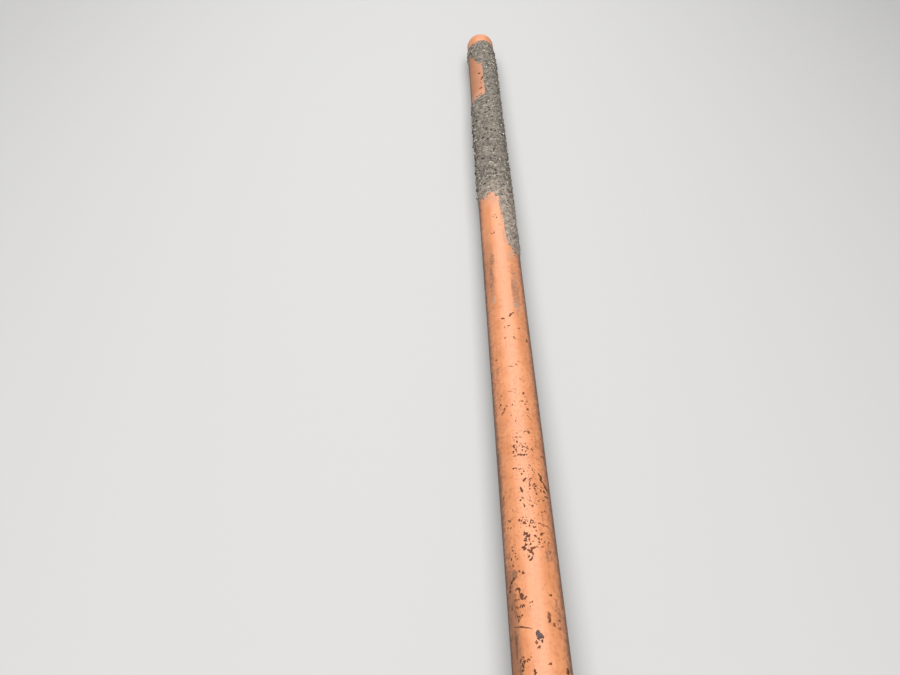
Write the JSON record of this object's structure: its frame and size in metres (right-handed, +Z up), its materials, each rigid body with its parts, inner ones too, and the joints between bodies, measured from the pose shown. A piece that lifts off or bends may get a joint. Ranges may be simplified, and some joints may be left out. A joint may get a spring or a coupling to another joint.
{
  "type": "plastic drain pipe",
  "caption": "Straight orange-brown plastic underground drain pipe, chamfered spigot at one end and a belled socket with a rubber ring seal at the other.",
  "frame": {"origin": "on the floor, below the middle of the pipe's box", "axes": "+Y runs along the pipe from the socket's mouth to the spigot, +Z is up; the pipe rests on its bead and on the spigot's lower edge, so its axis falls 0.17 degrees towards the spigot"},
  "size_m": [0.1276, 3.062, 0.128],
  "materials": {
    "pipe": "satin",
    "ring_seal": "matte"
  },
  "bodies": {
    "root": {"pipe": "pipe", "ring_seal": "ring_seal"}
  },
  "joints": []
}
